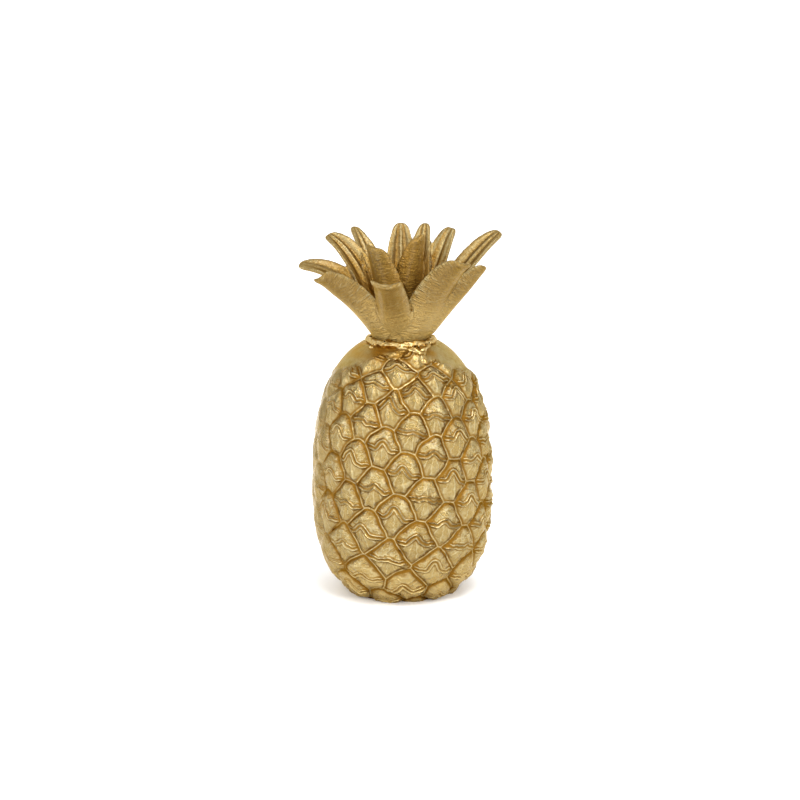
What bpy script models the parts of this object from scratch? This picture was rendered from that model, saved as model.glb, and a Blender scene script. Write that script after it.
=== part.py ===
"""A small cast pineapple ornament: a carved fruit and the crown of leaves fixed to its neck.

Metres, +Z up. The origin is at the centre of the flat underside and the front faces -Y.
Angles run round the axis from the front, positive towards +X.
"""
import math
from typing import NamedTuple

import bmesh
import bpy
import numpy as np
from mathutils import Vector

# The smooth fruit, before its eyes are carved
BODY_RADIUS = 0.0462
WIDEST_HEIGHT = 0.0550
TOP_REACH = 0.0810
LOW_REACH = 0.0615
FULLNESS = 2.5
NECK_HEIGHT = 0.1316

# The spiral of eyes: each is one turn step further round and one drop lower than the last
TURN_STEP = math.radians(-137.4)
FIRST_TURN = math.radians(-1.34)
FIRST_EYE_HEIGHT = 0.12192
EYE_DROP = 0.0007895
EYE_DROP_GROWTH = 0.000001942
FIRST_EYE = -40
LAST_EYE = 155
# Eyes are laid out this far past both flat cuts. A square on the map, this large each
# way, is cut down to each eye's cell by its nearest neighbours
SPARE_HEIGHT = 0.018
CELL_START = 1.5
NEIGHBOURS = 19

# The carving: how far each part of an eye stands out from the smooth fruit
GROOVE_LIFT = -0.0012
PEAK_LIFT = 0.0011
# For each ring of an eye: its share of the cell, how far it keeps the cell's corners,
# its lift, and how much more its upper side stands out than its lower side
EYE_RINGS = (
    (0.76, 0.85, 0.0002, 0.0001),
    (0.44, 0.55, 0.0010, 0.0003),
)
FADE_START = 0.1205
FADE_END = 0.1295
CORNER_MERGE = 0.0009
# A line between two corners that is shorter than this is drawn out at both ends by a share
LINK_LIMIT = 0.0070
LINK_GROWTH = 0.22
FINE_STEP = 0.0001
CUT_SNAP = 0.00002
SHARP_ANGLE = math.radians(40)

# The crown's root and the bead round its foot
JOINT_GAP = 0.0003
ROOT_SIDES = 20
ROOT_PROFILE = (
    (0.0000, 0.1490), (0.0080, 0.1480), (0.0138, 0.1450), (0.0160, 0.1410),
    (0.0158, 0.1380), (0.0152, 0.1356),
)
ROOT_FOOT_RADIUS = 0.0150
BEAD_RADIUS = 0.0164
BEAD_THICKNESS = 0.0018
BEAD_SIDES = 26
BEAD_SECTION_SIDES = 6
# Each wave of lumps: how many go round, how far the first is turned, how high they are
BEAD_LUMPS = ((5, 1.0, 0.0009), (11, 0.0, 0.0006))

# How every leaf is shaped. A section's points are set across it in half-widths and in
# from its outer face in thicknesses, with the extra depth of its grooves and midrib
LEAF_SECTIONS = 9
LEAF_THICKNESS = 0.0032
LEAF_CUPPING = 0.50
FLARE_END = 0.85
TIP_START = 0.79
TIP_SHARE = 0.34
TIP_ROUNDNESS = 2.2
TIP_THICKNESS = 0.45
TIP_CROWDING = 1.6
TWIST_RATE = 1.6
LEAF_SECTION = (
    (-1.00, 0.35, 0.00), (-0.55, 0.05, 0.00), (0.00, 0.00, 0.00), (0.55, 0.05, 0.00),
    (1.00, 0.35, 0.00), (0.90, 0.80, 0.00), (0.45, 0.95, -0.20), (0.00, 0.95, 0.15),
    (-0.45, 0.95, -0.20), (-0.90, 0.80, 0.00),
)


class Leaf(NamedTuple):
    """One leaf: its angle, its tip's place, its bend, width, twist and flare at the root."""
    name: str
    turn: float
    reach: float
    height: float
    root_reach: float
    bend_out: float
    bend_up: float
    width: float
    twist: float
    flare: float


LEAVES = (
    Leaf("front", -10, 0.0460, 0.1685, 0.0125, 0.50, 0.72, 0.0142, 0, 0.20),
    Leaf("front_left", -60, 0.0495, 0.1690, 0.0145, 0.47, 0.74, 0.0140, -32, 0.95),
    Leaf("front_right", 46, 0.0440, 0.1770, 0.0145, 0.47, 0.78, 0.0150, 24, 0.95),
    Leaf("right", 77, 0.0435, 0.1730, 0.0155, 0.50, 0.53, 0.0125, 25, 0.80),
    Leaf("left", -95, 0.0530, 0.1710, 0.0130, 0.27, 0.95, 0.0115, 26, 0.90),
    Leaf("back_left", -122, 0.0455, 0.1840, 0.0134, 0.34, 0.82, 0.0120, 20, 0.90),
    Leaf("back_left_inner", -144, 0.0430, 0.1870, 0.0134, 0.36, 0.68, 0.0088, 0, 1.60),
    Leaf("back", 180, 0.0330, 0.1895, 0.0138, 0.50, 0.62, 0.0115, 0, 1.20),
    Leaf("back_right_inner", 155, 0.0310, 0.1900, 0.0136, 0.50, 0.62, 0.0095, 0, 1.50),
    Leaf("back_right", 131, 0.0355, 0.1880, 0.0136, 0.45, 0.68, 0.0106, -15, 0.90),
    Leaf("far_right", 105, 0.0535, 0.1870, 0.0138, 0.50, 0.72, 0.0116, -25, 0.70),
    Leaf("inner_left", -37, 0.0235, 0.1840, 0.0045, 0.50, 0.55, 0.0142, 0, 0.40),
    Leaf("inner_right", 27, 0.0185, 0.1890, 0.0035, 0.40, 0.50, 0.0108, 0, 0.60),
)
LEAF_ROOT_HEIGHT = 0.1370


def start_empty():
    """Remove whatever the file holds, and make the two collections."""
    for old in list(bpy.data.objects):
        bpy.data.objects.remove(old, do_unlink=True)
    parts = bpy.data.collections.new("pineapple_ornament")
    blanks = bpy.data.collections.new("leaf_blanks")
    for group in (parts, blanks):
        bpy.context.scene.collection.children.link(group)
    return parts, blanks


def gold_paint(name, colour, roughness):
    """Satin gold paint on cast metal."""
    paint = bpy.data.materials.new(name)
    paint.use_nodes = True
    shader = paint.node_tree.nodes["Principled BSDF"]
    shader.inputs["Base Color"].default_value = (*colour, 1.0)
    shader.inputs["Metallic"].default_value = 0.85
    shader.inputs["Roughness"].default_value = roughness
    return paint


def add_object(name, mesh, group, paint=None):
    """Put a mesh in the scene as a smooth-shaded object of that name."""
    thing = bpy.data.objects.new(name, mesh)
    group.objects.link(thing)
    mesh.shade_smooth()
    mesh.set_sharp_from_angle(angle=SHARP_ANGLE)
    if paint:
        mesh.materials.append(paint)
    return thing


class Surface:
    """The smooth fruit as a turned shape, with a map that keeps small shapes true.

    The map's second axis grows by distance over radius, so that nearest-neighbour cells
    drawn on the flat map are nearest-neighbour cells on the fruit.
    """

    def __init__(self):
        spare = 2 * SPARE_HEIGHT
        self.heights = np.arange(-spare, NECK_HEIGHT + spare, FINE_STEP)
        inside = np.clip(self.heights, 0.0, NECK_HEIGHT)
        reach = np.where(inside > WIDEST_HEIGHT, TOP_REACH, LOW_REACH)
        share = np.abs(inside - WIDEST_HEIGHT) / reach
        self.radii = BODY_RADIUS * (1 - share ** FULLNESS) ** (1 / FULLNESS)
        self.slopes = np.gradient(self.radii, self.heights)
        rate = np.sqrt(1 + self.slopes ** 2) / self.radii
        steps = (rate[1:] + rate[:-1]) / 2 * FINE_STEP
        self.rows = np.concatenate([[0.0], np.cumsum(steps)])

    def row_of(self, height):
        return float(np.interp(height, self.heights, self.rows))

    def point(self, turn, height, lift):
        """A point at a turn and height, standing out by a lift along the normal."""
        radius = float(np.interp(height, self.heights, self.radii))
        slope = float(np.interp(height, self.heights, self.slopes))
        length = math.hypot(1.0, slope)
        radius += lift / length
        height -= lift * slope / length
        return Vector((radius * math.sin(turn), -radius * math.cos(turn), height))

    def carved(self, turn, row, lift):
        """The same from a row of the map, with the lift dying away below the neck."""
        height = float(np.interp(row, self.rows, self.heights))
        return self.point(turn, height, lift * fade(height))


def eye_centres(surface):
    """Turn and map row of every eye, down the one long spiral."""
    centres = []
    for count in range(FIRST_EYE, LAST_EYE + 1):
        height = FIRST_EYE_HEIGHT - EYE_DROP * count - EYE_DROP_GROWTH * count ** 2
        if -2 * SPARE_HEIGHT < height < NECK_HEIGHT + 2 * SPARE_HEIGHT:
            turn = (FIRST_TURN + TURN_STEP * count + math.pi) % (2 * math.pi) - math.pi
            centres.append((turn, surface.row_of(height), height))
    return np.array(centres)


def keep_side(outline, normal, limit):
    """Cut a flat outline by a straight line and keep the near side."""
    kept = []
    for here, after in zip(outline, np.roll(outline, -1, axis=0)):
        depth = here @ normal - limit
        next_depth = after @ normal - limit
        if depth <= 0:
            kept.append(here)
        if depth * next_depth < 0:
            kept.append(here + (after - here) * depth / (depth - next_depth))
    return np.array(kept)


def eye_outline(centre, everyone):
    """The cell of the map that is nearer to this eye's centre than to any other."""
    order = np.argsort(((everyone - centre) ** 2).sum(axis=1))
    square = np.array([(-1, -1), (1, -1), (1, 1), (-1, 1)]) * CELL_START
    outline = centre + square
    for other in everyone[order[1:NEIGHBOURS + 1]]:
        normal = other - centre
        outline = keep_side(outline, normal, normal @ (other + centre) / 2)
    return outline


def fade(height):
    """How much of the carving is left: it dies away below the neck."""
    share = (FADE_END - height) / (FADE_END - FADE_START)
    share = min(max(share, 0.0), 1.0)
    return share * share * (3 - 2 * share)


def cut_flat(mesh, height, side):
    """Cut everything off beyond a level plane, and close the hole."""
    everything = mesh.verts[:] + mesh.edges[:] + mesh.faces[:]
    bmesh.ops.bisect_plane(
        mesh, geom=everything, dist=CUT_SNAP, plane_co=(0, 0, height),
        plane_no=(0, 0, side), clear_outer=True)
    rim = [edge for edge in mesh.edges if edge.is_boundary and
           all(abs(vert.co.z - height) < FINE_STEP for vert in edge.verts)]
    for edge in rim:
        for vert in edge.verts:
            vert.co.z = height
    bmesh.ops.holes_fill(mesh, edges=rim)


def draw_out_links(net):
    """Lengthen the short lines between cells, which makes the cells rounder."""
    moves = []
    for corner in net.verts:
        link = min(corner.link_edges, key=lambda edge: edge.calc_length())
        if link.calc_length() < LINK_LIMIT:
            moves.append((corner, corner.co - link.other_vert(corner).co))
    for corner, move in moves:
        corner.co += move * LINK_GROWTH


def eye_faces(surface):
    """A closed net of flat cells round the fruit, one face for each eye."""
    centres = eye_centres(surface)
    seeds = centres[:, :2]
    everyone = np.concatenate([seeds + (turns * 2 * math.pi, 0) for turns in (-1, 0, 1)])
    net = bmesh.new()
    for seed, height in zip(seeds, centres[:, 2]):
        if -SPARE_HEIGHT < height < NECK_HEIGHT + SPARE_HEIGHT:
            corners = [surface.carved(*corner, 0.0) for corner in eye_outline(seed, everyone)]
            net.faces.new([net.verts.new(corner) for corner in corners])
    bmesh.ops.remove_doubles(net, verts=net.verts, dist=CORNER_MERGE)
    draw_out_links(net)
    return net


def carve_eye(surface, mesh, border):
    """Replace one cell by its groove, shoulder, dome and peak."""
    turns = [math.atan2(vert.co.x, -vert.co.y) for vert in border]
    turns = [turn + 2 * math.pi * round((turns[0] - turn) / (2 * math.pi)) for turn in turns]
    corners = np.array([(turn, surface.row_of(vert.co.z)) for turn, vert in zip(turns, border)])
    middle = corners.mean(axis=0)
    spokes = corners - middle
    lengths = np.hypot(*spokes.T)
    usual = lengths.mean()
    outer = border
    for share, rounding, lift, brow in EYE_RINGS:
        inner = []
        for spoke, length in zip(spokes, lengths):
            reach = share * usual * (length / usual) ** rounding
            turn, row = middle + spoke / length * reach
            rise = brow * spoke[1] / length
            inner.append(mesh.verts.new(surface.carved(turn, row, lift + rise)))
        for side in range(len(inner)):
            after = (side + 1) % len(inner)
            mesh.faces.new((outer[side], outer[after], inner[after], inner[side]))
        outer = inner
    peak = mesh.verts.new(surface.carved(*middle, PEAK_LIFT))
    for side in range(len(outer)):
        mesh.faces.new((outer[side], outer[(side + 1) % len(outer)], peak))


def make_fruit(group):
    """Carve the fruit eye by eye, then cut it flat at its base and neck."""
    surface = Surface()
    mesh = eye_faces(surface)
    borders = [(eye, list(eye.verts)) for eye in mesh.faces]
    for eye, border in borders:
        carve_eye(surface, mesh, border)
    bmesh.ops.delete(mesh, geom=[eye for eye, border in borders], context="FACES_ONLY")
    for vert in {vert for eye, border in borders for vert in border}:
        turn = math.atan2(vert.co.x, -vert.co.y)
        vert.co = surface.point(turn, vert.co.z, GROOVE_LIFT * fade(vert.co.z))
    cut_flat(mesh, 0.0, -1)
    cut_flat(mesh, NECK_HEIGHT, 1)
    bmesh.ops.triangulate(mesh, faces=mesh.faces)
    bmesh.ops.recalc_face_normals(mesh, faces=mesh.faces)
    data = bpy.data.meshes.new("fruit")
    mesh.to_mesh(data)
    mesh.free()
    return add_object("fruit", data, group, gold_paint("fruit_gold", (0.55, 0.36, 0.14), 0.36))


def leaf_half_width(leaf, along):
    """Half the width at a share of the length: flared at the root, rounded at the tip."""
    half = leaf.width / 2 * (1 + leaf.flare * max(0.0, 1 - along / FLARE_END))
    if along > TIP_START:
        share = (along - TIP_START) / (1 - TIP_START)
        half *= TIP_SHARE + (1 - TIP_SHARE) * math.sqrt(max(0.0, 1 - share ** TIP_ROUNDNESS))
    return half


def leaf_ring(leaf, along):
    """The points of one section, square to the leaf's bent middle line."""
    root = Vector((leaf.root_reach, LEAF_ROOT_HEIGHT))
    tip = Vector((leaf.reach, leaf.height))
    bend = root + Vector(((tip.x - root.x) * leaf.bend_out, (tip.y - root.y) * leaf.bend_up))
    middle = root * (1 - along) ** 2 + bend * 2 * along * (1 - along) + tip * along ** 2
    forward = ((bend - root) * (1 - along) + (tip - bend) * along).normalized()

    turn = math.radians(leaf.turn)
    outward = Vector((math.sin(turn), -math.cos(turn), 0))
    across = Vector((math.cos(turn), math.sin(turn), 0))
    up = Vector((0, 0, 1))
    centre = outward * middle.x + up * middle.y
    face = outward * forward.y - up * forward.x
    twist = math.radians(leaf.twist) * min(1.0, along * TWIST_RATE)
    wide = across * math.cos(twist) + face * math.sin(twist)
    deep = face * math.cos(twist) - across * math.sin(twist)
    half = leaf_half_width(leaf, along)
    fullness = min(1.0, half / (leaf.width / 2))
    thick = LEAF_THICKNESS * (TIP_THICKNESS + (1 - TIP_THICKNESS) * fullness)
    points = []
    for x, y, groove in LEAF_SECTION:
        cup = LEAF_CUPPING * fullness * half * x * x
        inward = cup + thick * (y + groove * fullness ** 2 - 0.5)
        points.append(centre + wide * (half * x) - deep * inward)
    return points


def make_leaf(leaf, group):
    """Loft one leaf through its sections, as a blank that the crown is joined from."""
    mesh = bmesh.new()
    rings = []
    for step in range(LEAF_SECTIONS + 1):
        along = 1 - (1 - step / LEAF_SECTIONS) ** TIP_CROWDING
        rings.append([mesh.verts.new(point) for point in leaf_ring(leaf, along)])
    sides = len(LEAF_SECTION)
    for low, high in zip(rings, rings[1:]):
        for side in range(sides):
            after = (side + 1) % sides
            mesh.faces.new((low[side], low[after], high[after], high[side]))
    mesh.faces.new(rings[0])
    mesh.faces.new(rings[-1])
    bmesh.ops.recalc_face_normals(mesh, faces=mesh.faces)
    data = bpy.data.meshes.new(leaf.name)
    mesh.to_mesh(data)
    mesh.free()
    blank = add_object("blank_" + leaf.name, data, group)
    blank.hide_render = True
    blank.display_type = "WIRE"


def make_bead(group):
    """The lumpy ring of filler round the crown's foot."""
    centre = NECK_HEIGHT + JOINT_GAP + BEAD_THICKNESS
    bpy.ops.mesh.primitive_torus_add(
        major_radius=BEAD_RADIUS, minor_radius=BEAD_THICKNESS,
        major_segments=BEAD_SIDES, minor_segments=BEAD_SECTION_SIDES)
    bead = bpy.context.object
    bead.name = "blank_bead"
    for vert in bead.data.vertices:
        turn = math.atan2(vert.co.x, -vert.co.y)
        lump = sum(rise * math.sin(waves * turn + start) for waves, start, rise in BEAD_LUMPS)
        grow = 1 + lump / BEAD_RADIUS
        vert.co.x *= grow
        vert.co.y *= grow
        vert.co.z += centre
    for old in bead.users_collection:
        old.objects.unlink(bead)
    group.objects.link(bead)
    bead.hide_render = True
    bead.display_type = "WIRE"


def make_crown(group, blanks):
    """Turn the crown's root, then join the leaves and the bead to it as one casting."""
    foot = NECK_HEIGHT + JOINT_GAP
    profile = [*ROOT_PROFILE, (ROOT_FOOT_RADIUS, foot), (0.0, foot)]
    data = bpy.data.meshes.new("leaf_crown")
    edges = [(count, count + 1) for count in range(len(profile) - 1)]
    data.from_pydata([(radius, 0.0, height) for radius, height in profile], edges, [])
    crown = add_object(
        "leaf_crown", data, group, gold_paint("crown_gold", (0.50, 0.33, 0.13), 0.40))
    turned = crown.modifiers.new("turned", "SCREW")
    turned.steps = turned.render_steps = ROOT_SIDES
    turned.use_merge_vertices = True
    turned.merge_threshold = 0.0001
    joined = crown.modifiers.new("joined", "BOOLEAN")
    joined.operation = "UNION"
    joined.solver = "EXACT"
    joined.operand_type = "COLLECTION"
    joined.collection = blanks
    for leaf in LEAVES:
        make_leaf(leaf, blanks)
    make_bead(blanks)
    return crown


parts, blanks = start_empty()
make_fruit(parts)
make_crown(parts, blanks)
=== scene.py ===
"""A small cast pineapple ornament in satin gold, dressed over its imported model.

Metres, +Z up. The ornament stands on its flat underside at the origin, facing -Y. Angles run
round the axis from the front, positive towards +X.
"""

import math
from typing import NamedTuple

import bmesh
import bpy
import numpy as np
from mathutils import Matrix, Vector, noise
from mathutils.geometry import delaunay_2d_cdt


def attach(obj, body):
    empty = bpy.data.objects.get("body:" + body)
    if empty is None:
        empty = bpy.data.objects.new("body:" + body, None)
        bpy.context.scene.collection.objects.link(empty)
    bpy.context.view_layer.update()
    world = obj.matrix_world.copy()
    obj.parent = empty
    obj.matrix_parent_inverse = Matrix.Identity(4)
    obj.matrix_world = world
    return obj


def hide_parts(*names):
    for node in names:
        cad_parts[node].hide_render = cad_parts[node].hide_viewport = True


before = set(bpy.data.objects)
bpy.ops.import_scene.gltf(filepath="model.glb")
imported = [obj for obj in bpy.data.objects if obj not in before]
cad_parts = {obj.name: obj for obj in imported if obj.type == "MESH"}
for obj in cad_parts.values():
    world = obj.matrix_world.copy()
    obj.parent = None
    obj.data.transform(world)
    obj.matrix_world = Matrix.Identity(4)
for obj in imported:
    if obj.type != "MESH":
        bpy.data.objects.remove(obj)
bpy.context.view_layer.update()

# The fruit is one metal casting, cut flat underneath. Its eyes follow one long spiral, and each
# was cut in the pattern by hand: a groove with a thin raised line in it all round, a domed
# cushion, and a wavy fold across the cushion from side to side.
BODY_RADIUS = 0.0462
WIDEST_HEIGHT = 0.0550
TOP_REACH = 0.0810
LOW_REACH = 0.0615
FULLNESS = 2.5
NECK_HEIGHT = 0.1316
TURN_STEP = math.radians(-137.4)
FIRST_TURN = math.radians(-1.34)
FIRST_EYE_HEIGHT = 0.12192
EYE_DROP = 0.0007895
EYE_DROP_GROWTH = 0.000001942
FIRST_EYE = -40
LAST_EYE = 155
SPARE_HEIGHT = 0.018
CELL_START = 1.5
NEIGHBOURS = 19
FADE_START = 0.1304
FADE_END = 0.1316
SIDE_FADE_DROP = 0.0120
FRONT_SPREAD = math.radians(60)
FINE_STEP = 0.0001
MM = 0.001
CORNER_MERGE = 0.9 * MM
LINK_LIMIT = 7.0 * MM
LINK_GROWTH = 0.22
BORDER_STEP = 1.15 * MM
BOW_UP = 0.75 * MM
BOW_WANDER = 0.70 * MM
WOBBLE = 0.24 * MM
WOBBLE_LENGTH = 9.0 * MM
FULL_BOW_LENGTH = 6 * MM
ROPE_WAVE = 3.4 * MM
ROPE_WIDTH_WAVE = 9 * MM
UNEVEN_WAVE = 5.5 * MM
MERGE_DISTANCE = 0.00001
SHARP_ANGLE = math.radians(70)
CORNER_ROUNDING = 3.0
GROOVE_STEEPNESS = 1.6
WORN_TURN = math.radians(-88)
WORN_SPREAD = math.radians(26)
WORN_SHARE = 0.80
LEFT_SHADE_SPREAD = 1.25 * WORN_SPREAD
# An eye's own lengths and lifts, in millimetres. A ring of points has its place inside the
# border and its points' least spacing
RINGS = ((0.26, 0.2), (0.52, 0.2), (0.85, 0.5), (1.3, 0.5), (1.9, 0.5))
CLOSE_RINGS = 2
LINE_SPACING = 0.27
GRID_SPACING = 0.75
BORDER_CLEARANCE = 0.5
TRIANGLE_SLACK = 0.001
LEAST_DISTANCE = 0.001
LIP_PLACE = 1.0
LIP_LIFT = 0.44
LIP_WIDTH = 0.32
FURROW_DEPTH = 0.12
FLANK_PLACE = 1.8
FLANK_DEPTH = 0.14
FURROW_WIDTH = 0.5
CREASE_LIFT_ABOVE = 0.30
CREASE_LIFT_BELOW = 0.26
CREASE_WIDTH = 0.36
CREASE_LEVEL = 0.4
BEAK_WIDTH = 1.5
BEAK_LEVEL = 0.3
GROOVE_DEPTH = 1.15
GROOVE_WIDTH = 1.2
ROPE_LIFT = 0.70
ROPE_SWELL = 0.22
ROPE_WIDTH = 0.37
ROPE_WIDTH_SWELL = 0.08
UNEVEN_LIFT = 0.24
FOLD_LINES = (LIP_PLACE, -LIP_PLACE, 0.72, -0.72, 1.28, -1.28, 0.36, -0.36, 0.0, 1.7, -1.7)
FOLD_STEP = 0.85
FILL_STEP = 1.05
GRID_REACH = 9.0
DOME_REACH = 7.0
DOME_RISE = 2.1

heights = np.arange(-2 * SPARE_HEIGHT, NECK_HEIGHT + 2 * SPARE_HEIGHT, FINE_STEP)
kept_heights = np.clip(heights, 0.0, NECK_HEIGHT)
reaches = np.where(kept_heights > WIDEST_HEIGHT, TOP_REACH, LOW_REACH)
radii = BODY_RADIUS * (
    1 - (np.abs(kept_heights - WIDEST_HEIGHT) / reaches) ** FULLNESS) ** (1 / FULLNESS)
slopes = np.gradient(radii, heights)
climb = np.sqrt(1 + slopes ** 2) / radii
rows = np.concatenate([[0.0], np.cumsum((climb[1:] + climb[:-1]) / 2 * FINE_STEP)])
leans = np.interp(np.clip(heights, 2 * FINE_STEP, NECK_HEIGHT - 2 * FINE_STEP), heights, slopes)


def smooth_step(low, high, value):
    """0 below low, 1 above high, and a soft rise between."""
    share = np.clip((value - low) / (high - low), 0.0, 1.0)
    return share * share * (3 - 2 * share)


def bell(value, width):
    """1 at nought, dying away over width on both sides."""
    return np.exp(-(value / width) ** 2)


def skin(turn, row, lift):
    """Points on the smooth fruit at map places, standing out by a lift along the normal."""
    height = np.interp(row, rows, heights)
    lean = np.interp(row, rows, leans)
    length = np.sqrt(1 + lean ** 2)
    radius = np.interp(row, rows, radii) + lift / length
    height = height - lift * lean / length
    return np.stack([radius * np.sin(turn), -radius * np.cos(turn), height], axis=-1)


def ripple(spots, wavelength, seed):
    """A soft irregular wave through space, mostly between -1 and 1."""
    pick = np.random.default_rng(seed)
    ways = pick.normal(size=(3, 12))
    ways *= 2 * math.pi / wavelength / np.linalg.norm(ways, axis=0) * pick.uniform(0.7, 1.4, 12)
    return np.sin(spots @ ways + pick.uniform(0, 6.28, 12)).sum(axis=-1) / 3


def keep_side(outline, normal, limit):
    """Cut a flat outline by a straight line and keep the near side."""
    kept = []
    for here, after in zip(outline, np.roll(outline, -1, axis=0)):
        depth = here @ normal - limit
        next_depth = after @ normal - limit
        if depth <= 0:
            kept.append(here)
        if depth * next_depth < 0:
            kept.append(here + (after - here) * depth / (depth - next_depth))
    return np.array(kept)


def eye_outline(centre, everyone):
    """The cell of the map that is nearer to this eye's centre than to any other."""
    order = np.argsort(((everyone - centre) ** 2).sum(axis=1))
    outline = centre + np.array([(-1, -1), (1, -1), (1, 1), (-1, 1)]) * CELL_START
    for other in everyone[order[1:NEIGHBOURS + 1]]:
        normal = other - centre
        outline = keep_side(outline, normal, normal @ (other + centre) / 2)
    return outline


def corner_key(corner):
    """The same for a corner of any cell that meets there, also behind the seam of the map."""
    return tuple(round(part * 1e5) for part in (math.sin(corner[0]), math.cos(corner[0]), corner[1]))


def drawn_out(outlines):
    """The outlines with the short lines between corners lengthened at both ends."""
    links = {}
    for outline in outlines:
        for here, after in zip(outline, np.roll(outline, -1, axis=0)):
            links.setdefault(corner_key(here), []).append(after - here)
            links.setdefault(corner_key(after), []).append(here - after)
    moves = {}
    for outline in outlines:
        for corner in outline:
            key = corner_key(corner)
            link = min(links[key], key=lambda side: math.hypot(*side))
            length = math.hypot(*link) * np.interp(corner[1], rows, radii)
            moves[key] = -link * (LINK_GROWTH if CORNER_MERGE < length < LINK_LIMIT else 0.0)
    return [np.array([corner + moves[corner_key(corner)] for corner in outline])
            for outline in outlines]


def border_points(outline):
    """Points round a cell on lines that are bowed as on the fruit, and each point's side."""
    bowed, owners = [], []
    for owner, (here, after) in enumerate(zip(outline, np.roll(outline, -1, axis=0))):
        middle = (here + after) / 2
        radius = float(np.interp(middle[1], rows, radii))
        side = after - here
        length = math.hypot(*side) * radius
        steps = max(1, round(length / BORDER_STEP))
        normal = np.array([-side[1], side[0]]) / math.hypot(*side)
        if normal[1] < 0:
            normal = -normal
        wander = math.sin(41 * math.cos(middle[0] + 0.3) + 57 * middle[1])
        bow = normal * (BOW_UP * normal[1] ** 2 + BOW_WANDER * wander) / radius
        bow *= min(1.0, length / FULL_BOW_LENGTH)
        for step in range(steps):
            share = step / steps
            bowed.append(here + side * share + bow * math.sin(math.pi * share))
            owners.append(owner)
    bowed = np.array(bowed)
    where = skin(bowed[:, 0], bowed[:, 1], 0.0)
    wobble = np.stack([ripple(where, WOBBLE_LENGTH, seed) for seed in (1, 2)], axis=1)
    bowed += wobble * WOBBLE / np.interp(bowed[:, 1], rows, radii)[:, None]
    return bowed, np.array(owners)


def distances(spots, starts, ends):
    """Distance of every spot from every straight line between starts and ends."""
    side = ends - starts
    share = ((spots[:, None] - starts) * side).sum(axis=2) / (side ** 2).sum(axis=1)
    foot = starts + side * np.clip(share, 0, 1)[..., None]
    return np.linalg.norm(spots[:, None] - foot, axis=2)


def within(spots, border):
    """Which spots lie inside a closed border."""
    after = np.roll(border, -1, axis=0)
    passes = (border[:, 1] > spots[:, 1:]) != (after[:, 1] > spots[:, 1:])
    rise = np.where(after[:, 1] == border[:, 1], 1.0, after[:, 1] - border[:, 1])
    at = border[:, 0] + (spots[:, 1:] - border[:, 1]) * (after[:, 0] - border[:, 0]) / rise
    return (passes & (spots[:, :1] < at)).sum(axis=1) % 2 == 1


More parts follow.
